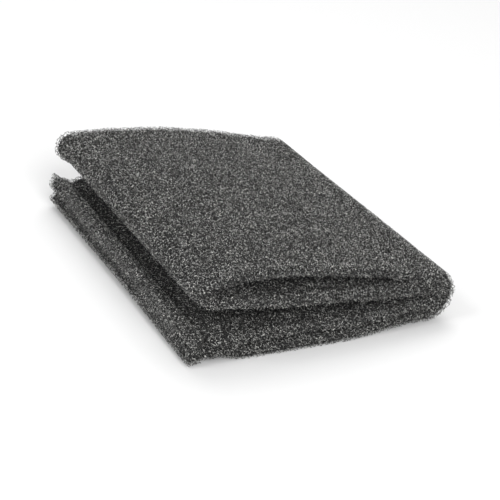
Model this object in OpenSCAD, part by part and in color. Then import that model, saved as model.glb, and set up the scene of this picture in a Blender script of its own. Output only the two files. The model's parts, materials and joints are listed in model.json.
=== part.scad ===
// Foam air filter sleeve: a flat tube of open-cell foam with one welded fin seam,
// lying folded in half. The flattened tube is two layers, so the folded stack is four.
// X runs from the seam flange to the half fold, Y along the sleeve's own axis, Z up.
// Every layer keeps one cross-section along Y and is open at both cut ends.

/* [Foam] */
// Thickness of the foam sheet
foam_t = 5; // [4:0.5:6]
// Width of the folded sleeve, from the flange's free edge to the half fold
folded_w = 120; // [110:1:140]
// Length of the sleeve along its own axis
sleeve_l = 140; // [80:1:200]

/* [Welded seam] */
// Width of the flange outside the weld line
flange_w = 9; // [8:0.5:11]
// Radius of the welded bead
bead_r = 2.2; // [1.8:0.1:2.4]
// Height of the weld line above the resting surface
weld_z = 6.6; // [6:0.1:7]
// Height of the flange's underside at its free edge
flange_drop_z = 2.4; // [2.2:0.1:3]
// Opening between the flange's two strips at their free edges
flange_splay = 1; // [0.5:0.1:1.5]

/* [Half fold] */
// Half of the slot left inside the tighter fold
inner_fold_r = 0.8; // [0.6:0.1:1.2]
// How far the fold's underside stands above the resting surface
fold_lift = 2.4; // [1.5:0.1:3]

/* [Upper half] */
// How far the plain edge is set back from the flange's free edge
edge_set_back = 2.5; // [2:0.5:6]
// Height of the middle of the plain edge fold
edge_z = 29.5; // [29.2:0.1:31]
// Half of the gap held open inside the plain edge fold
edge_inner_r = 2; // [1.5:0.1:2.5]

/* [Hidden] */

foam = "dimgray";
weld_colour = "black";

// Clearance between foam surfaces that lie on each other, and at cut joints between bodies
lie_gap = 0.3;
cut_gap = 0.3;

// Points along each long surface of a panel
panel_steps = 36;

// The section's origin is midway along the folded width, on the resting surface
weld_x = flange_w - folded_w / 2;

// Half fold: the outer layer turns round the inner one
inner_fold_out_r = inner_fold_r + foam_t;
outer_fold_r = inner_fold_out_r + lie_gap;
outer_fold_out_r = outer_fold_r + foam_t;
fold_x = folded_w / 2 - outer_fold_out_r;
fold_z = fold_lift + outer_fold_out_r;

// Plain edge fold at the upper half's left
edge_out_r = edge_inner_r + foam_t;
edge_x = edge_set_back + edge_out_r - folded_w / 2;

// The layers swell from the weld's pinch to their full thickness over this run
pinch_run = 9;
// The lower half rises to the fold over this run, and the top layer falls to it over its own
rise_run = 40;
fall_run = 74;
// The two lower layers part a little beside the weld
seam_puff = 1;
puff_rise = 14;
puff_run = 75;

// Flange section, from the bead out to the rounded corners of its free edge
flange_x = -folded_w / 2;
flange_round = 1.4;
flange_steps = 24;
flange_root_x = weld_x - bead_r / 2;

function ease(u) = let(v = min(1, max(0, u))) v * v * (3 - 2 * v);
function mix(a, b, w) = a * (1 - w) + b * w;

// How far a point is out of the weld's pinch, and how far it has risen to the half fold
function unpinched(x) = ease((x - weld_x) / pinch_run);
function rise(x) = fold_lift * ease((x - fold_x + rise_run) / rise_run);
function puff(x) = seam_puff * ease((x - weld_x) / puff_rise)
    * (1 - ease((x - weld_x - puff_rise) / puff_run));

// Heights of the eight long surfaces, from the resting surface up
function lower_outer_under(x) = mix(weld_z - bead_r, 0, unpinched(x)) + rise(x);
function lower_outer_over(x) = mix(weld_z - lie_gap / 2, foam_t, unpinched(x)) + rise(x);
function lower_inner_under(x) = mix(weld_z + lie_gap / 2, foam_t + lie_gap, unpinched(x))
    + puff(x) + rise(x);
function lower_inner_over(x) = mix(weld_z + bead_r, 2 * foam_t + lie_gap, unpinched(x))
    + puff(x) + rise(x);
function upper_inner_under(x) = mix(edge_z - edge_out_r, fold_z + inner_fold_r,
    ease((x - edge_x) / (fold_x - edge_x)) * 0.35 + (x - edge_x) / (fold_x - edge_x) * 0.65);
function upper_inner_over(x) = upper_inner_under(x) + foam_t;
function upper_outer_under(x) = mix(edge_z + edge_inner_r, fold_z + outer_fold_r,
    ease((x - fold_x + fall_run) / fall_run));
function upper_outer_over(x) = upper_outer_under(x) + foam_t;

// How far out along the flange a point is, and how much its corners are rounded off there
function flange_out(x) = (weld_x - x) / flange_w;
function corner_loss(x) = let(d = 1 - (x - flange_x) / flange_round)
    d > 0 ? flange_round * (1 - sqrt(1 - d * d)) : 0;

// Heights of the flange's four surfaces, from the resting surface up
function flange_lower_under(x) = mix(weld_z - bead_r, flange_drop_z, ease(flange_out(x) * 1.2))
    + corner_loss(x);
function flange_lower_over(x) = mix(weld_z - lie_gap / 2, flange_drop_z + foam_t, ease(flange_out(x)))
    - corner_loss(x);
function flange_upper_under(x) = mix(weld_z + lie_gap / 2, flange_drop_z + foam_t + flange_splay,
    ease(flange_out(x))) + corner_loss(x);
function flange_upper_over(x) = mix(weld_z + bead_r, flange_drop_z + 2 * foam_t + flange_splay,
    ease(flange_out(x) * 1.5)) - corner_loss(x);

// The x of each point along a surface, and the closed outline between two rows of heights
function stations(x0, x1, steps) = [for (i = [0 : steps]) mix(x0, x1, i / steps)];
function reversed(list) = [for (i = [len(list) - 1 : -1 : 0]) list[i]];
function outline(xs, under, over) = concat(
    [for (x = xs) [x, under(x)]],
    [for (x = reversed(xs)) [x, over(x)]]
);

lower_xs = stations(weld_x, fold_x, panel_steps);
upper_xs = stations(edge_x, fold_x, panel_steps);
flange_xs = stations(flange_x, flange_root_x, flange_steps);

// A section drawn in XZ, made into a solid along Y
module along_sleeve() {
    rotate([90, 0, 0])
        linear_extrude(height = sleeve_l, center = true)
            children();
}

module weld_circle(r) {
    translate([weld_x, weld_z])
        circle(r = r, $fn = 48);
}

// The half of a ring on the +X side, or on the -X side
module half_ring(r_in, r_out, side) {
    difference() {
        circle(r = r_out, $fn = 96);
        circle(r = r_in, $fn = 96);
        translate([side > 0 ? -2 * r_out : 0, -2 * r_out])
            square([2 * r_out, 4 * r_out]);
    }
}

// Both bends start on the lower panels and stop short of the upper ones, which swing away
module fold_bend(r_in, r_out) {
    along_sleeve()
        difference() {
            translate([fold_x, fold_z])
                half_ring(r_in, r_out, 1);
            translate([fold_x, fold_z + r_in - 1])
                square([cut_gap, r_out - r_in + 2]);
        }
}

module lower_outer_panel() {
    color(foam)
        along_sleeve()
            difference() {
                polygon(outline(lower_xs, function(x) lower_outer_under(x), function(x) lower_outer_over(x)));
                weld_circle(bead_r);
            }
}

module lower_inner_panel() {
    color(foam)
        along_sleeve()
            difference() {
                polygon(outline(lower_xs, function(x) lower_inner_under(x), function(x) lower_inner_over(x)));
                weld_circle(bead_r);
            }
}

// The line where the two layers are melted together
module weld_seam() {
    color(weld_colour)
        along_sleeve()
            weld_circle(bead_r - cut_gap / 10);
}

module flange_upper_strip() {
    color(foam)
        along_sleeve()
            difference() {
                polygon(outline(flange_xs, function(x) flange_upper_under(x), function(x) flange_upper_over(x)));
                weld_circle(bead_r + cut_gap);
            }
}

module flange_lower_strip() {
    color(foam)
        along_sleeve()
            difference() {
                polygon(outline(flange_xs, function(x) flange_lower_under(x), function(x) flange_lower_over(x)));
                weld_circle(bead_r + cut_gap);
            }
}

module outer_half_fold() {
    color(foam)
        fold_bend(outer_fold_r, outer_fold_out_r);
}

module inner_half_fold() {
    color(foam)
        fold_bend(inner_fold_r, inner_fold_out_r);
}

module upper_outer_panel() {
    color(foam)
        along_sleeve()
            polygon(outline(upper_xs, function(x) upper_outer_under(x), function(x) upper_outer_over(x)));
}

module upper_inner_panel() {
    color(foam)
        along_sleeve()
            polygon(outline(upper_xs, function(x) upper_inner_under(x), function(x) upper_inner_over(x)));
}

module edge_fold() {
    color(foam)
        along_sleeve()
            translate([edge_x, edge_z])
                half_ring(edge_inner_r, edge_out_r, -1);
}

lower_outer_panel();
lower_inner_panel();
weld_seam();
flange_upper_strip();
flange_lower_strip();
outer_half_fold();
inner_half_fold();
upper_outer_panel();
upper_inner_panel();
edge_fold();
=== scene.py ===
"""Looks of the foam filter sleeve: open-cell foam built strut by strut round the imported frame.

The sleeve is one strip of foam. It is laid out flat as (s, y, n): s runs along the strip from one
free edge of the seam flange, round the sleeve, to the other; y runs along the sleeve; n goes through
the sheet, from its inside face to its outside face. Everything is built there and then folded.
"""

import json
import math

import bpy
import numpy as np
from mathutils import Matrix, Vector


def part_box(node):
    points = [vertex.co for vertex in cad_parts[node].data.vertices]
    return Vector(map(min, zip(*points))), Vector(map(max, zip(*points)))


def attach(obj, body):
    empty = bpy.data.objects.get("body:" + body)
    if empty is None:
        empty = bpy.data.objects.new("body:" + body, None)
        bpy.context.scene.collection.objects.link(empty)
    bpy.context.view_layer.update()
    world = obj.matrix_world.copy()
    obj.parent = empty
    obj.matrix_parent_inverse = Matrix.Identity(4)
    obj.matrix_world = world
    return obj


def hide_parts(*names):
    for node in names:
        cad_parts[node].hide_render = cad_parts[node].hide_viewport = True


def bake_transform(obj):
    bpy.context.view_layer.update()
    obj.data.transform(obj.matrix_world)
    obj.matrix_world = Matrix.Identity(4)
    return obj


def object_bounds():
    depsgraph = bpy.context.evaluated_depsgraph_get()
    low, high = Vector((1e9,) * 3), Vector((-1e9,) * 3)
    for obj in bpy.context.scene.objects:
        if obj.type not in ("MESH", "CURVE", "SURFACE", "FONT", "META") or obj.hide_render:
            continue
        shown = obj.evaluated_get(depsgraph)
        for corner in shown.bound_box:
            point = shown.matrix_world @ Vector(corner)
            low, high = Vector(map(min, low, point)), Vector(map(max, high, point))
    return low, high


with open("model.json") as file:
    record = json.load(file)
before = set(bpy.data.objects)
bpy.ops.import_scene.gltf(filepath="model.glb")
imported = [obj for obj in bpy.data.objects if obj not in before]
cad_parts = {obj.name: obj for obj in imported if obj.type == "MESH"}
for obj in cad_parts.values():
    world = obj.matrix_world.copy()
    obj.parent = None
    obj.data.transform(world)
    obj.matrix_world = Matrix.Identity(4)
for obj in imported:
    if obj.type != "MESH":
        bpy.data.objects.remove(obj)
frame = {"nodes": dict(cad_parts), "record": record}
cad_low, cad_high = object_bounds()

MM = 0.001
SHEET = 5 * MM  # the foam's thickness
TINY = 1e-12  # keeps a zero length from being divided by


def ease(u):
    """A smooth step from 0 to 1."""
    v = np.clip(u, 0, 1)
    return v * v * (3 - 2 * v)


def rising(u, start, run):
    """0 up to start, then a smooth rise to 1 over the run. u is in metres, the others in millimetres."""
    return ease((u - start * MM) / (run * MM))


def falling(u, start, run):
    """1 up to start, then a smooth fall to 0 over the run. Units as for rising."""
    return 1 - rising(u, start, run)


def hill(u, middle, reach):
    """A smooth rise to 1 at the middle, gone at reach from it. Units as for rising."""
    return ease(1 - np.abs(u - middle * MM) / (reach * MM))


# ---------------------------------------------------------------- the strip, from the CAD nodes

BEAD_LOW, BEAD_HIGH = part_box("weld_seam")
BEAD = np.array([(BEAD_LOW.x + BEAD_HIGH.x) / 2, (BEAD_LOW.z + BEAD_HIGH.z) / 2])
BEAD_R = (BEAD_HIGH.z - BEAD_LOW.z) / 2
BEAD_CLEAR = BEAD_R + 0.6 * MM  # how far from the weld line the sheet's own section starts
HALF_LENGTH = (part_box("upper_outer_panel")[1].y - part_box("upper_outer_panel")[0].y) / 2
SAME_X = 0.001 * MM  # corners closer than this are at one station
BEND_STATIONS = 31


def front_section(name):
    """x and z of a CAD node's corners on its front cut face."""
    corners = np.array([v.co for v in frame["nodes"][name].data.vertices])
    return corners[corners[:, 1] < corners[:, 1].min() + MM][:, [0, 2]]


def panel_rows(name, outside_up, towards_plus_x):
    """Inside and outside point of the sheet at each station of a panel, as rows of x, z, x, z."""
    section = front_section(name)
    rows = []
    # stations in the weld are left out, and those where a rounded edge has next to no thickness
    for x in np.unique(np.round(section[:, 0], 7)):
        z = section[np.abs(section[:, 0] - x) < SAME_X, 1]
        if abs(x - BEAD[0]) > BEAD_CLEAR and z.max() - z.min() > MM:
            rows.append((x, z.min(), x, z.max()) if outside_up else (x, z.max(), x, z.min()))
    return rows if towards_plus_x else rows[::-1]


def bend_rows(name, side, first, last, outside_at_rim):
    """The same for a half ring, from one angle to another. side is +1 or -1, where it bulges in X."""
    low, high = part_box(name)
    centre = np.array([low.x if side > 0 else high.x, (low.z + high.z) / 2])
    reach = np.linalg.norm(front_section(name) - centre, axis=1)
    radii = [reach.min(), reach.max()] if outside_at_rim else [reach.max(), reach.min()]
    rows = []
    for angle in np.radians(np.linspace(first, last, BEND_STATIONS)):
        way = np.array([math.cos(angle), math.sin(angle)])
        rows.append((*(centre + radii[0] * way), *(centre + radii[1] * way)))
    return rows


def bead_row(side):
    """The sheet's section where it runs into the weld, below it (-1) or above it (+1)."""
    return [(BEAD[0], BEAD[1] + 0.1 * MM * side, BEAD[0], BEAD[1] + BEAD_R * side)]


# The strip from one free edge of the flange to the other, in the order in which it runs.
STRETCHES = [
    ("flange_lower_strip", panel_rows("flange_lower_strip", False, True)),
    ("weld_below", bead_row(-1)),
    ("lower_outer_panel", panel_rows("lower_outer_panel", False, True)),
    ("outer_half_fold", bend_rows("outer_half_fold", 1, -90, 90, True)),
    ("upper_outer_panel", panel_rows("upper_outer_panel", True, False)),
    ("edge_fold", bend_rows("edge_fold", -1, 90, 270, True)),
    ("upper_inner_panel", panel_rows("upper_inner_panel", False, True)),
    ("inner_half_fold", bend_rows("inner_half_fold", 1, 90, -90, False)),
    ("lower_inner_panel", panel_rows("lower_inner_panel", True, False)),
    ("weld_above", bead_row(1)),
    ("flange_upper_strip", panel_rows("flange_upper_strip", True, False)),
]


def lay_out():
    """The section's rows with their s, and where each stretch starts and ends along s."""
    rows = np.array([row for _, stretch in STRETCHES for row in stretch])
    middle = (rows[:, :2] + rows[:, 2:]) / 2
    s = np.concatenate([[0], np.cumsum(np.linalg.norm(np.diff(middle, axis=0), axis=1))])
    ends = np.cumsum([len(stretch) for _, stretch in STRETCHES])
    spans = {}
    for (name, stretch), end in zip(STRETCHES, ends):
        spans[name] = [s[end - len(stretch)], s[end - 1]]
    spans["lower_outer_panel"][0] = spans["flange_lower_strip"][1]
    spans["lower_inner_panel"][1] = spans["flange_upper_strip"][0]
    return s, rows, spans


ROW_S, ROWS, SPANS = lay_out()
STRIP_LENGTH = ROW_S[-1]
FOAM_NODES = [name for name in frame["nodes"] if name in SPANS]

# ---------------------------------------------------------------- how the soft stack really lies

# The CAD section is even along the sleeve. These functions say how far the real foam lies off it, in
# millimetres, from forward = 1 at the front cut end to -1 at the back one.
FADE = 8 * MM  # how gently a layer's own shift fades out at the ends of its stretch


def upper_half(z):
    """1 in the stack's upper half and 0 in its lower half."""
    return rising(z, 15, 9)


def part_of(s, name):
    """1 along a stretch of the strip, fading out at each end of it."""
    first, last = SPANS[name]
    return ease((s - first) / FADE) * ease((last - s) / FADE)


def end_part(share, last):
    """1 at a cut end, where share is 1, and 0 before the last part of the way there."""
    return ease((share - 1 + last) / last)


def lie_of_layers(s, x, z, forward):
    """How the four layers and the half fold lean, dip and swell, along X and Z."""
    front, back = ease(forward), ease(-forward)
    upper = upper_half(z)
    left = falling(x, -58, 60)
    fold_end = rising(x, 38, 14)

    # the plain edge leans out towards the front; its front corner is rounded in, its back one pulled out
    corner_out = 2.6 * end_part(-forward, 0.14) - 2.0 * end_part(forward, 0.12)
    dx = 0.4 * fold_end - upper * left * (0.6 + 1.3 * forward + corner_out)

    # the upper half is higher at the front, and the half fold sinks, its top more than its underside
    dz = 1.1 * upper * forward
    dz = dz - 1.2 * fold_end * rising(z, 12, 8) - 0.8 * fold_end * falling(z, 4, 8)

    # the top layer swells beside the half fold and at its front left, and dips at the back
    swell = 1.4 * hill(x, 22, 26) + front * 1.1 * hill(x, -36, 26) - back * 0.9 * hill(x, -20, 20)
    dz = dz + swell * part_of(s, "upper_outer_panel")

    # at the front the second layer sags away from the top one, and the third swells up
    dz = dz - front * 1.4 * hill(x, -20, 30) * part_of(s, "upper_inner_panel")
    dz = dz + front * 0.8 * hill(x, -8, 34) * part_of(s, "lower_inner_panel")
    return dx, dz


def lie_of_flange(s, x, z, forward):
    """How the seam's flange and the foam beside the weld curl, along X and Z."""
    lower = 1 - upper_half(z)
    outward = ease((BEAD[0] - x) / (7 * MM))
    back_end = end_part(-forward, 0.18)

    # the upper strip curls in, and up towards the back, where the tip of its corner lifts most
    curl = outward * rising(z, 7.5, 6) * lower
    tip = falling(x, -60, 4.5)
    dx = 2.6 * curl * (1 - 0.7 * back_end) - 0.5 * outward * lower
    dz = curl * (1 - back_end) * (0.8 - 1.0 * forward) + 3.0 * curl * back_end * tip

    # the middle of the flange, where its two strips meet, stands higher
    dz = dz + 1.7 * outward * hill(z, 7.8, 5.4)

    # the strips' facing sides close on each other at the free edge, and away from the front the lower
    # strip's side is drawn in under the upper strip's lip
    in_lower_strip = s < STRIP_LENGTH / 2
    lower_lip = in_lower_strip * rising(z, 4, 2) * lower
    upper_lip = ~in_lower_strip * falling(z, 9, 2.5) * lower
    away_from_front = 1 - ease((forward - 0.15) / 0.3)
    dz = dz + 0.9 * falling(x, -60, 3.5) * (lower_lip - upper_lip)
    dx = dx + outward * away_from_front * (3.0 * lower_lip - 1.0 * upper_lip)

    # the layers stand up in a rim beside the weld at the back end
    dz = dz + 3.6 * end_part(-forward, 0.2) * hill(x, -49, 9.5) * rising(z, 6, 4) * lower

    # the underside is pinched up before the weld, sags at it, and the flange's own sags at the front
    under = falling(z, 4, 3)
    sag = 1.0 * hill(x, -43, 8) - 1.8 * hill(x, -51.5, 7) - 1.6 * ease(forward) * outward
    return dx, dz + under * sag


def lie_of_ends(x, z, forward):
    """How the cut ends stand out or in, along Y: a crease at the weld, and a bulge of the lower half."""
    crease = hill(x, -52.3, 2.8) * hill(z, 9, 6)
    bulge = (1 - upper_half(z)) * hill(x, 6, 62)
    end = end_part(np.abs(forward), 0.2) * np.sign(forward)
    return end * (ease(forward) * 8.0 * crease - 1.4 * bulge)


def lie(s, x, y, z):
    """Where points of the CAD section really lie, in metres."""
    forward = -y / HALF_LENGTH
    layers_dx, layers_dz = lie_of_layers(s, x, z, forward)
    flange_dx, flange_dz = lie_of_flange(s, x, z, forward)
    ripple = np.sin(y / (21 * MM) + 1.1) * np.sin(x / (17 * MM) + y / (60 * MM))
    dx = layers_dx + flange_dx
    dy = lie_of_ends(x, z, forward)
    dz = layers_dz + flange_dz + 0.2 * rising(z, 0, 8) * ripple
    return x + dx * MM, y + dy * MM, z + dz * MM


def fold(sheet):
    """Points given as s, y, n, in the folded sleeve."""
    s, y, n = sheet[..., 0], sheet[..., 1], sheet[..., 2]
    share = n / SHEET + 0.5
    ix, iz, ox, oz = (np.interp(s, ROW_S, ROWS[:, c]) for c in range(4))
    return np.stack(lie(s, ix + (ox - ix) * share, y, iz + (oz - iz) * share), axis=-1)


# ---------------------------------------------------------------- the foam's cells

CELL = 1.7 * MM  # side of the cube that holds two cells
JITTER = 0.4  # of each cell's middle, in cubes
LOOSE = 0.1  # of each junction, in cubes
STRUT_R = 0.12 * MM  # from a junction's middle to its corners
TURN = math.radians(27)  # of the cells across the sheet
SEED = 7
GRID_MARGIN = 3 * CELL  # how far the cell grid reaches past the sheet
KEPT_MARGIN = 1.5 * CELL  # how far past the sheet its cubes are kept
SHORTEST_STUB = 0.05 * MM

# Where four struts meet, in quarters of the cube's side: four junctions on each of three faces.
FACE_JUNCTIONS = [(0, 1, 2), (0, 3, 2), (0, 2, 1), (0, 2, 3)]
JUNCTIONS = np.array([np.roll(j, axis) for axis in range(3) for j in FACE_JUNCTIONS])
CELL_MIDDLES = np.array([(0, 0, 0), (2, 2, 2)])
CUBES_ROUND = np.array([(i, j, k) for i in (-1, 0, 1) for j in (-1, 0, 1) for k in (-1, 0, 1)])

# How deep the struts go from the outside face of each stretch, in millimetres.
OUTER_DEPTH = {
    "upper_outer_panel": 1.5, "edge_fold": 1.5, "outer_half_fold": 1.5, "inner_half_fold": 0.9,
    "flange_lower_strip": 1.5, "flange_upper_strip": 1.5, "lower_outer_panel": 0.7,
    "upper_inner_panel": 1.1, "lower_inner_panel": 1.1,
}
INSIDE_DEPTH = 1.1 * MM  # the same from the inside face, near the cut ends
END_DEPTH = 1.6 * MM  # and from the cut ends and the free edges
END_ZONE = 14 * MM  # how far into the sleeve's mouths one can see


def near(points, others, distance_squared):
    """For each junction, which of the others stand at that distance, with the cube each is in.

    Places and distances are in quarters of the cube's side.
    """
    found = []
    for p in points:
        hits = [
            (kind, cube)
            for cube in CUBES_ROUND
            for kind, q in enumerate(others)
            if ((q + 4 * cube - p) ** 2).sum() == distance_squared
        ]
        found.append(hits)
    kinds = np.array([[kind for kind, _ in hits] for hits in found])
    cubes = np.array([[cube for _, cube in hits] for hits in found])
    return kinds, cubes


# Each junction has four others next to it, and stands between the middles of four cells.
NEXT_KIND, NEXT_CUBE = near(JUNCTIONS, JUNCTIONS, 2)
SEED_KIND, SEED_CUBE = near(JUNCTIONS, CELL_MIDDLES, 5)


def stretch_of(s):
    """Which foam node each s belongs to, as a place in FOAM_NODES."""
    which = np.zeros(s.shape, int)
    for number, name in enumerate(FOAM_NODES):
        which[(s >= SPANS[name][0]) & (s <= SPANS[name][1])] = number
    return which


def within(p):
    """Whether points of the layout are inside the sheet."""
    return (
        (p[..., 0] > 0) & (p[..., 0] < STRIP_LENGTH)
        & (np.abs(p[..., 1]) < HALF_LENGTH) & (np.abs(p[..., 2]) < SHEET / 2)
    )


def shown(p):
    """Whether points inside the sheet are near enough to a face that shows to need struts."""
    depth = np.array([OUTER_DEPTH[name] * MM for name in FOAM_NODES])[stretch_of(p[..., 0])]
    from_end = HALF_LENGTH - np.abs(p[..., 1])
    inside = (p[..., 2] + SHEET / 2 < INSIDE_DEPTH) & (from_end < END_ZONE)
    tip = np.minimum(p[..., 0], STRIP_LENGTH - p[..., 0])
    return (SHEET / 2 - p[..., 2] < depth) | inside | (from_end < END_DEPTH) | (tip < END_DEPTH)


def sheet_place(cells):
    """Points of the cell grid, in cubes, as s, y, n: turned, and warped so that no rows show."""
    a, b, c = (cells[..., i] * CELL for i in range(3))
    s = a * math.cos(TURN) - b * math.sin(TURN)
    y = a * math.sin(TURN) + b * math.cos(TURN)
    ds = 0.5 * MM * np.sin(y / (3.1 * MM) + 0.7 * np.sin(s / (7 * MM)))
    dy = 0.5 * MM * np.sin(s / (2.7 * MM) + 0.9 * np.sin(y / (8 * MM)))
    dn = 0.6 * MM * np.sin(s / (2.9 * MM) + 1.3) * np.sin(y / (2.3 * MM)) + 0.5 * MM * np.sin(
        (s + y) / (5.1 * MM)
    )
    return np.stack([s + ds, y + dy, c + dn], axis=-1)


def grid_size():
    """The lowest cube of the grid that covers the turned strip, and the number of cubes each way."""
    corners = np.array([
        (s, y)
        for s in (-GRID_MARGIN, STRIP_LENGTH + GRID_MARGIN)
        for y in (-HALF_LENGTH - GRID_MARGIN, HALF_LENGTH + GRID_MARGIN)
    ])
    a = (corners[:, 0] * math.cos(TURN) + corners[:, 1] * math.sin(TURN)) / CELL
    b = (-corners[:, 0] * math.sin(TURN) + corners[:, 1] * math.cos(TURN)) / CELL
    c = SHEET / 2 / CELL + 2
    low = np.array([a.min(), b.min(), -c]).astype(int) - 1
    return low, np.array([a.max(), b.max(), c]).astype(int) + 2 - low


def grow_cells():
    """The places of all junctions in and near the sheet, and the four next to each, -1 where none is."""
    low, count = grid_size()
    rng = np.random.default_rng(SEED)
    jitter = rng.uniform(-JITTER, JITTER, (*(count + 2), 2, 3)).astype(np.float32)

    grid = np.stack(np.meshgrid(*[np.arange(1, n - 1) for n in count], indexing="ij"), -1).reshape(-1, 3)
    centre = sheet_place(grid + low + 0.5)
    keep = (
        (centre[:, 0] > -KEPT_MARGIN) & (centre[:, 0] < STRIP_LENGTH + KEPT_MARGIN)
        & (np.abs(centre[:, 1]) < HALF_LENGTH + KEPT_MARGIN)
        & (np.abs(centre[:, 2]) < SHEET / 2 + KEPT_MARGIN)
    )
    grid = grid[keep]
    number = np.full(count, -1)
    number[tuple(grid.T)] = np.arange(len(grid))

    seeds = grid[:, None, None] + SEED_CUBE[None]
    kind = np.broadcast_to(SEED_KIND, seeds.shape[:-1])
    moved = seeds + low + 0.5 * kind[..., None] + jitter[(*np.moveaxis(seeds, -1, 0), kind)]
    loose = rng.uniform(-LOOSE, LOOSE, (len(grid), len(JUNCTIONS), 3))
    place = sheet_place(moved.mean(axis=2) + loose).reshape(-1, 3)

    beside = grid[:, None, None] + NEXT_CUBE[None]
    beside = number[tuple(np.moveaxis(beside, -1, 0))]
    beside = np.where(beside < 0, -1, beside * len(JUNCTIONS) + NEXT_KIND).reshape(-1, 4)
    return place, beside


# ---------------------------------------------------------------- struts round the cells

# A junction's corner n stands away from neighbour n, so the triangle of the other three faces it.
FACE_OF = np.array([(1, 2, 3), (0, 3, 2), (0, 1, 3), (0, 2, 1)])


def junction_corners(here, there):
    """Four corners round each junction, the triangle that faces each neighbour, and the way to it."""
    middle, ahead = fold(here), fold(there)
    way = ahead - middle[:, None]
    way /= np.linalg.norm(way, axis=-1, keepdims=True) + TINY
    corner = middle[:, None] - STRUT_R * way
    triangle = np.broadcast_to(FACE_OF, (len(here), 4, 3)).copy()
    at = corner[np.arange(len(here))[:, None, None], triangle]
    normal = np.cross(at[:, :, 1] - at[:, :, 0], at[:, :, 2] - at[:, :, 0])
    inward = (normal * way).sum(-1) < 0
    triangle[inward] = triangle[inward][:, ::-1]
    triangle += 4 * np.arange(len(here))[:, None, None]
    return corner.reshape(-1, 3), triangle, way


def prism_sides(near_end, far_end):
    """The three sides between two triangles."""
    return [
        np.stack([near_end[:, i], near_end[:, (i + 1) % 3], far_end[:, (i + 1) % 3], far_end[:, i]], 1)
        for i in range(3)
    ]


def joined_struts(points, triangle, other):
    """The struts between two junctions: both junctions, the strut's sides, and its far triangle."""
    first, slot = np.nonzero(other > np.arange(len(other))[:, None])
    second = other[first, slot]
    back = (other[second] == first[:, None]).argmax(axis=1)
    near_end, far_end = triangle[first, slot], triangle[second, back][:, ::-1]
    # of the three ways to match the corners, the one that twists the strut least
    turned = np.stack([far_end[:, [0, 1, 2]], far_end[:, [1, 2, 0]], far_end[:, [2, 0, 1]]], axis=1)
    gap = ((points[near_end][:, None] - points[turned]) ** 2).sum(axis=(2, 3))
    far_end = turned[np.arange(len(turned)), gap.argmin(axis=1)]
    return first, second, prism_sides(near_end, far_end), far_end


def stub_shift(root, start, stop):
    """From a strut's root triangle to its tip: whole, or cut off where the strut leaves the sheet."""
    low = np.array([0, -HALF_LENGTH, -SHEET / 2])
    high = np.array([STRIP_LENGTH, HALF_LENGTH, SHEET / 2])
    run = stop - start
    run = np.where(np.abs(run) < TINY, TINY, run)
    share = np.where(run > 0, (high - start) / run, (low - start) / run).min(axis=1)
    end = fold(start + (stop - start) * np.minimum(share, 1)[:, None])
    return end - root.mean(axis=1)


def grow_struts():
    """The lattice: its corners, its struts' sides and end triangles, and the junction that owns each."""
    place, beside = grow_cells()
    ids = np.flatnonzero(within(place) & shown(place) & (beside >= 0).all(axis=1))
    rank = np.full(len(place), -1)
    rank[ids] = np.arange(len(ids))
    here, there, other = place[ids], place[beside[ids]], rank[beside[ids]]
    points, triangle, way = junction_corners(here, there)
    first, second, strut_sides, far_end = joined_struts(points, triangle, other)

    lone, slot = np.nonzero(other < 0)
    root = triangle[lone, slot]
    shift = stub_shift(points[root], here[lone], there[lone, slot])
    long_enough = (shift * way[lone, slot]).sum(-1) > SHORTEST_STUB
    stub_root = root[long_enough]
    stub_tip = len(points) + np.arange(3 * len(stub_root)).reshape(-1, 3)
    tip_points = (points[stub_root] + shift[long_enough][:, None]).reshape(-1, 3)
    return {
        "here": here, "points": np.concatenate([points, tip_points]),
        "first": first, "second": second, "strut_sides": strut_sides, "far_end": far_end,
        "stub_owner": lone[long_enough], "stub_sides": prism_sides(stub_root, stub_tip),
        "stub_tip": stub_tip,
        "flat_owner": lone[~long_enough], "flat_root": root[~long_enough],
    }


# ---------------------------------------------------------------- pieces

MAX_FACES = 190_000  # triangles in one piece
STRUT_FACES = 6  # triangles round a strut
STUB_FACES = 7  # and round one with a closed tip


def split_bands(lattice):
    """A piece number for each junction: node by node, in bands along y that stay under the limit."""
    here = lattice["here"]
    node = stretch_of(here[:, 0])
    piece = np.zeros(len(here), int)
    names = []
    load = np.full(len(here), 0.0)
    np.add.at(load, lattice["first"], STRUT_FACES)
    np.add.at(load, lattice["stub_owner"], STUB_FACES)
    np.add.at(load, lattice["flat_owner"], 1)
    for number, name in enumerate(FOAM_NODES):
        mine = np.flatnonzero(node == number)
        order = mine[np.argsort(here[mine, 1])]
        total = np.cumsum(load[order])
        bands = max(1, math.ceil(total[-1] / MAX_FACES))
        band = np.minimum((total / (total[-1] / bands)).astype(int), bands - 1)
        piece[order] = len(names) + band
        names += [(name, i + 1) for i in range(bands)]
    return piece, names


def mesh_object(name, points, quads, triangles):
    """A mesh object from arrays of corners and of four and three sided faces."""
    used, renumbered = np.unique(np.concatenate([quads.ravel(), triangles.ravel()]), return_inverse=True)
    data = bpy.data.meshes.new(name)
    data.vertices.add(len(used))
    data.vertices.foreach_set("co", points[used].astype(np.float32).ravel())
    sizes = np.concatenate([np.full(len(quads), 4), np.full(len(triangles), 3)])
    starts = np.concatenate([[0], np.cumsum(sizes)[:-1]])
    data.loops.add(len(renumbered))
    data.loops.foreach_set("vertex_index", renumbered.astype(np.int32))
    data.polygons.add(len(sizes))
    data.polygons.foreach_set("loop_start", starts.astype(np.int32))
    data.update(calc_edges=True)
    data.shade_smooth()
    obj = bpy.data.objects.new(name, data)
    bpy.context.collection.objects.link(obj)
    return obj


BODY_OF = {node: body for body, nodes in frame["record"]["behaviour"]["bodies"].items() for node in nodes}


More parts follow.
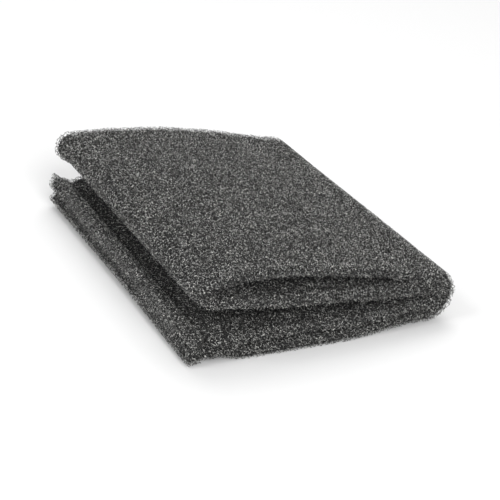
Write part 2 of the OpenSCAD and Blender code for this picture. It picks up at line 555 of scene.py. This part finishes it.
def settle_piece(obj, node, material):
    """Gives a foam piece its material and hides its CAD node; a half fold or flange piece stays where it is
    in the world, any other is attached to its node's body.
    """
    obj.data.materials.append(material)
    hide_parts(node)
    if node.endswith("half_fold"):
        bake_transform(obj)
    elif node.startswith("flange"):
        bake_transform(obj)
    else:
        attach(obj, BODY_OF[node])


def build_foam(material):
    """The struts of every foam node, as pieces named after it."""
    lattice = grow_struts()
    piece, names = split_bands(lattice)
    far_end = lattice["far_end"]
    near_piece, far_piece = piece[lattice["first"]], piece[lattice["second"]]
    crossing = near_piece != far_piece
    for number, (node, band) in enumerate(names):
        mine = near_piece == number
        stubs = piece[lattice["stub_owner"]] == number
        flats = piece[lattice["flat_owner"]] == number
        sides = [side[mine] for side in lattice["strut_sides"]]
        sides += [side[stubs] for side in lattice["stub_sides"]]
        # a strut that crosses into another piece closes both pieces at its far end
        caps = [
            lattice["stub_tip"][stubs],
            lattice["flat_root"][flats],
            far_end[mine & crossing],
            far_end[(far_piece == number) & crossing][:, ::-1],
        ]
        obj = mesh_object(
            f"{node}_struts_{band}", lattice["points"], np.concatenate(sides), np.concatenate(caps)
        )
        settle_piece(obj, node, material)


# ---------------------------------------------------------------- the middle of the sheet, painted dark as shade

CORE_BURY = 0.2 * MM  # how far the struts' ends go into it
BARE_DEPTH = 0.3 * MM  # how deep it lies on the inside face, where no struts cover it
BARE_FADE = 2 * MM  # over which the one depth turns into the other
CORE_STEP = 1.2 * MM  # between its corners along s
CORE_FEWEST = 9  # corners along a short stretch
CORE_ROWS = 97  # corners along y


def build_core(node, material):
    """The part of the sheet too deep to see into, as one closed skin under the struts, which carries the
    painted shade of the foam's depth.
    """
    first, last = SPANS[node]
    tip = END_DEPTH - CORE_BURY
    first = max(first, tip)
    last = min(last, STRIP_LENGTH - tip)
    s = np.linspace(first, last, max(CORE_FEWEST, int((last - first) / CORE_STEP)))
    half = HALF_LENGTH - END_DEPTH + CORE_BURY
    y = np.linspace(-half, half, CORE_ROWS)
    grid_s, grid_y = np.meshgrid(s, y, indexing="ij")
    covered = np.broadcast_to(ease((np.abs(y) - (half - END_ZONE)) / BARE_FADE), grid_s.shape)
    outer = SHEET / 2 - OUTER_DEPTH[node] * MM + CORE_BURY
    inner = BARE_DEPTH + (INSIDE_DEPTH - CORE_BURY - BARE_DEPTH) * covered - SHEET / 2
    top = fold(np.stack([grid_s, grid_y, np.full_like(grid_s, outer)], -1))
    bottom = fold(np.stack([grid_s, grid_y, inner], -1))
    rows, cols = grid_s.shape
    index = np.arange(rows * cols).reshape(rows, cols)
    under = index + rows * cols

    def patch(grid):
        return np.stack([grid[:-1, :-1], grid[1:, :-1], grid[1:, 1:], grid[:-1, 1:]], -1).reshape(-1, 4)

    rim = np.concatenate([index[:, 0], index[-1, 1:], index[-2::-1, -1], index[0, -2:0:-1]])
    rim_under = rim + rows * cols
    wall = np.stack([rim, rim_under, np.roll(rim_under, -1), np.roll(rim, -1)], -1)
    quads = np.concatenate([patch(index), patch(under)[:, ::-1], wall])
    points = np.concatenate([top.reshape(-1, 3), bottom.reshape(-1, 3)])
    obj = mesh_object(f"{node}_core", points, quads, np.zeros((0, 3), int))
    bare = np.concatenate([np.zeros(rows * cols), 1 - covered.ravel()])
    obj.data.attributes.new("bare", "FLOAT", "POINT").data.foreach_set("value", bare.astype(np.float32))
    settle_piece(obj, node, material)


# ---------------------------------------------------------------- materials

# a patch's grey is the strut's own random grey, or near white as a painted glint
STRUT_PATCHES = 2100.0  # greys per metre, so that each strut takes its own
DEEP_CELLS = 700.0  # cells per metre in the dark middle
WELD_LUMPS = 1400.0  # lumps per metre in the melted skin


class Nodes:
    """Short ways to add and join shader nodes in one material."""

    def __init__(self, name):
        self.material = bpy.data.materials.new(name)
        self.material.use_nodes = True
        self.tree = self.material.node_tree
        self.shader = self.tree.nodes["Principled BSDF"]

    def add(self, kind, **sockets):
        """A new node. Sockets are named with _ for a space."""
        node = self.tree.nodes.new(kind)
        for name, value in sockets.items():
            node.inputs[name.replace("_", " ")].default_value = value
        return node

    def join(self, source, target):
        self.tree.links.new(source, target)

    def place(self):
        return self.add("ShaderNodeTexCoord").outputs["Object"]

    def ramp(self, source, stops):
        """A colour ramp over the source, from stops given as (position, colour)."""
        node = self.add("ShaderNodeValToRGB")
        ramp = node.color_ramp
        while len(ramp.elements) < len(stops):
            ramp.elements.new(0.5)
        for element, (position, colour) in zip(ramp.elements, stops):
            element.position = position
            element.color = (*colour, 1)
        self.join(source, node.inputs["Fac"])
        return node.outputs["Color"]

    def bump(self, source, strength, distance):
        node = self.add("ShaderNodeBump", Strength=strength, Distance=distance)
        self.join(source, node.inputs["Height"])
        self.join(node.outputs["Normal"], self.shader.inputs["Normal"])
        return node


def grey(level, blue=1.0):
    """A grey as a colour, with its blue scaled."""
    return level, level, level * blue


def strut_material():
    """Charcoal foam struts: each its own grey, a few painted nearly white as painted glints where they would
    catch the light.
    """
    n = Nodes("foam_struts")
    strut = n.add("ShaderNodeTexVoronoi", Scale=STRUT_PATCHES, Randomness=1.0)
    n.join(n.place(), strut.inputs["Vector"])
    split = n.add("ShaderNodeSeparateColor")
    n.join(strut.outputs["Color"], split.inputs["Color"])
    # from 0.86 up the greys are painted glints, struts painted near white as highlights; below that, the
    # struts' own random greys
    greys_and_painted_glints = [(0.0, 0.008), (0.42, 0.022), (0.64, 0.08), (0.86, 0.55), (1.0, 1.0)]
    colour = n.ramp(split.outputs["Red"], [(at, grey(level, 0.96)) for at, level in greys_and_painted_glints])
    n.join(colour, n.shader.inputs["Base Color"])
    rough = n.ramp(split.outputs["Green"], [(0.0, grey(0.25)), (1.0, grey(0.6))])
    n.join(rough, n.shader.inputs["Roughness"])
    return n.material


def core_material():
    """The deep cells in painted shade: faint strut lines on near black where struts above would shade them,
    and clearer ones where no struts cover them. The near black between the lines is painted shade in the
    pores.
    """
    n = Nodes("foam_depth_painted_shade")
    cells = n.add("ShaderNodeTexVoronoi", Scale=DEEP_CELLS, Randomness=1.0)
    cells.feature = "DISTANCE_TO_EDGE"
    n.join(n.place(), cells.inputs["Vector"])
    # painted shade: a darkened copy of the strut lines for where covering struts would shade them, mixed by
    # bare with the clearer copy
    deep = n.ramp(cells.outputs["Distance"], [(0.04, (0.05, 0.05, 0.049)), (0.16, grey(0.008))])
    open_face = n.ramp(cells.outputs["Distance"], [(0.05, (0.3, 0.3, 0.295)), (0.24, grey(0.012))])
    bare = n.add("ShaderNodeAttribute")
    bare.attribute_name = "bare"
    mix = n.add("ShaderNodeMixRGB")
    n.join(bare.outputs["Fac"], mix.inputs["Fac"])
    n.join(deep, mix.inputs["Color1"])
    n.join(open_face, mix.inputs["Color2"])
    n.join(mix.outputs["Color"], n.shader.inputs["Base Color"])
    n.shader.inputs["Roughness"].default_value = 0.9
    n.bump(cells.outputs["Distance"], 0.8, 0.6 * MM).invert = True
    return n.material


def weld_material():
    """Foam melted to a dark, slightly shiny skin."""
    n = Nodes("melted_foam")
    lumps = n.add("ShaderNodeTexNoise", Scale=WELD_LUMPS, Detail=4.0, Roughness=0.55)
    n.join(n.place(), lumps.inputs["Vector"])
    colour = n.ramp(lumps.outputs["Fac"], [(0.35, grey(0.012)), (0.7, (0.04, 0.04, 0.039))])
    n.join(colour, n.shader.inputs["Base Color"])
    rough = n.ramp(lumps.outputs["Fac"], [(0.35, grey(0.3)), (0.7, grey(0.55))])
    n.join(rough, n.shader.inputs["Roughness"])
    n.bump(lumps.outputs["Fac"], 0.5, 0.3 * MM)
    return n.material


# ---------------------------------------------------------------- the weld

WELD_RINGS = 281
WELD_SIDES = 20
WELD_FRONT = 6 * MM  # how far inside the front cut end the bead stops
WELD_BACK = 2 * MM  # and inside the back one


def build_weld(material):
    """The melted line along the seam: an uneven bead, pinched where the sealing bar bit."""
    y = np.linspace(-HALF_LENGTH + WELD_FRONT, HALF_LENGTH - WELD_BACK, WELD_RINGS)
    angle = np.linspace(0, 2 * math.pi, WELD_SIDES, endpoint=False)
    along, around = np.meshgrid(y, angle, indexing="ij")
    coarse = 0.1 * np.sin(along / (0.9 * MM) + 2 * np.sin(around))
    fine = 0.07 * np.sin(along / (0.37 * MM) + 3 * around)
    radius = BEAD_R * (0.62 + 0.12 * np.cos(2 * around) + coarse + fine)
    x = BEAD[0] + radius * np.cos(around)
    z = BEAD[1] + radius * np.sin(around)
    points = np.stack([x, along, z], -1).reshape(-1, 3)
    index = np.arange(WELD_RINGS * WELD_SIDES).reshape(WELD_RINGS, WELD_SIDES)
    ahead = np.roll(index, -1, axis=1)
    quads = np.stack([index[:-1], ahead[:-1], ahead[1:], index[1:]], -1).reshape(-1, 4)
    middles = np.array([points[index[0]].mean(axis=0), points[index[-1]].mean(axis=0)])
    points = np.concatenate([points, middles])
    front, back = len(points) - 2, len(points) - 1
    caps = np.concatenate([
        np.stack([np.full(WELD_SIDES, front), ahead[0], index[0]], -1),
        np.stack([np.full(WELD_SIDES, back), index[-1], ahead[-1]], -1),
    ])
    obj = mesh_object("weld_bead", points, quads[:, ::-1], caps[:, ::-1])
    obj.data.materials.append(material)
    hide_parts("weld_seam")
    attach(obj, BODY_OF["weld_seam"])


# ---------------------------------------------------------------- camera, floor and light

CAMERA_PLACE = Vector((-283.2, -461.5, 289.1)) * MM
CAMERA_TURN = (31.88, 27.64, 7.59)  # right of +Y, down from level, and rolled, in degrees
CAMERA_LENS = 103.2
FLOOR_HALF = 3.0  # half its side, in metres
FLOOR_GAP = 0.02 * MM
ROOM_LIGHT = 0.42
AIM = Vector((0, 0, 0.015))
# Each lamp's name, place, side in metres and power in watts.
LAMPS = [
    ("key", (0.25, 0.5, 1.1), 0.9, 5.6),
    ("front", (-0.15, -1.15, 0.85), 0.7, 12),
    ("left", (-1.0, 0, 0.9), 0.5, 5),
]


def build_camera():
    """A long lens from the front left, above the sleeve, rolled a little."""
    azimuth, elevation, roll = (math.radians(a) for a in CAMERA_TURN)
    forward = Vector((
        math.cos(elevation) * math.sin(azimuth),
        math.cos(elevation) * math.cos(azimuth),
        -math.sin(elevation),
    ))
    level = forward.cross(Vector((0, 0, 1))).normalized()
    upright = level.cross(forward)
    right = math.cos(roll) * level + math.sin(roll) * upright
    up = right.cross(forward)
    data = bpy.data.cameras.new("camera")
    data.lens = CAMERA_LENS
    data.clip_start = 0.01
    data.clip_end = 20
    camera = bpy.data.objects.new("camera", data)
    bpy.context.collection.objects.link(camera)
    turn = Matrix((right, up, -forward)).transposed().to_4x4()
    camera.matrix_world = Matrix.Translation(CAMERA_PLACE) @ turn
    bpy.context.scene.camera = camera


def build_floor():
    """A pale floor, level with the lowest point."""
    z = cad_low.z - FLOOR_GAP
    corners = [(x * FLOOR_HALF, y * FLOOR_HALF, z) for x, y in ((-1, -1), (1, -1), (1, 1), (-1, 1))]
    data = bpy.data.meshes.new("floor")
    data.from_pydata(corners, [], [(0, 1, 2, 3)])
    floor = bpy.data.objects.new("floor", data)
    bpy.context.collection.objects.link(floor)
    n = Nodes("pale_floor")
    n.shader.inputs["Base Color"].default_value = (0.92, 0.92, 0.92, 1)
    n.shader.inputs["Roughness"].default_value = 0.9
    n.shader.inputs["Specular IOR Level"].default_value = 0.1
    data.materials.append(n.material)


def build_lamp(name, place, side, power):
    """A square area lamp that looks at the sleeve."""
    data = bpy.data.lights.new(name, "AREA")
    data.shape = "SQUARE"
    data.size = side
    data.energy = power
    light = bpy.data.objects.new(name, data)
    light.location = place
    light.rotation_euler = (AIM - Vector(place)).to_track_quat("-Z", "Y").to_euler()
    bpy.context.collection.objects.link(light)


def build_light():
    """A white room with three large soft lamps: above and behind, in front, and on the left."""
    world = bpy.data.worlds.new("studio")
    world.use_nodes = True
    world.node_tree.nodes["Background"].inputs["Color"].default_value = (1, 1, 1, 1)
    world.node_tree.nodes["Background"].inputs["Strength"].default_value = ROOM_LIGHT
    bpy.context.scene.world = world
    for lamp in LAMPS:
        build_lamp(*lamp)
    bpy.context.scene.view_settings.view_transform = "Standard"


build_camera()
build_floor()
build_light()
# near-black painted shade for the foam's depth, on the core under the struts
foam_depth_painted_shade = core_material()
for foam_node in FOAM_NODES:
    build_core(foam_node, foam_depth_painted_shade)
build_foam(strut_material())
build_weld(weld_material())
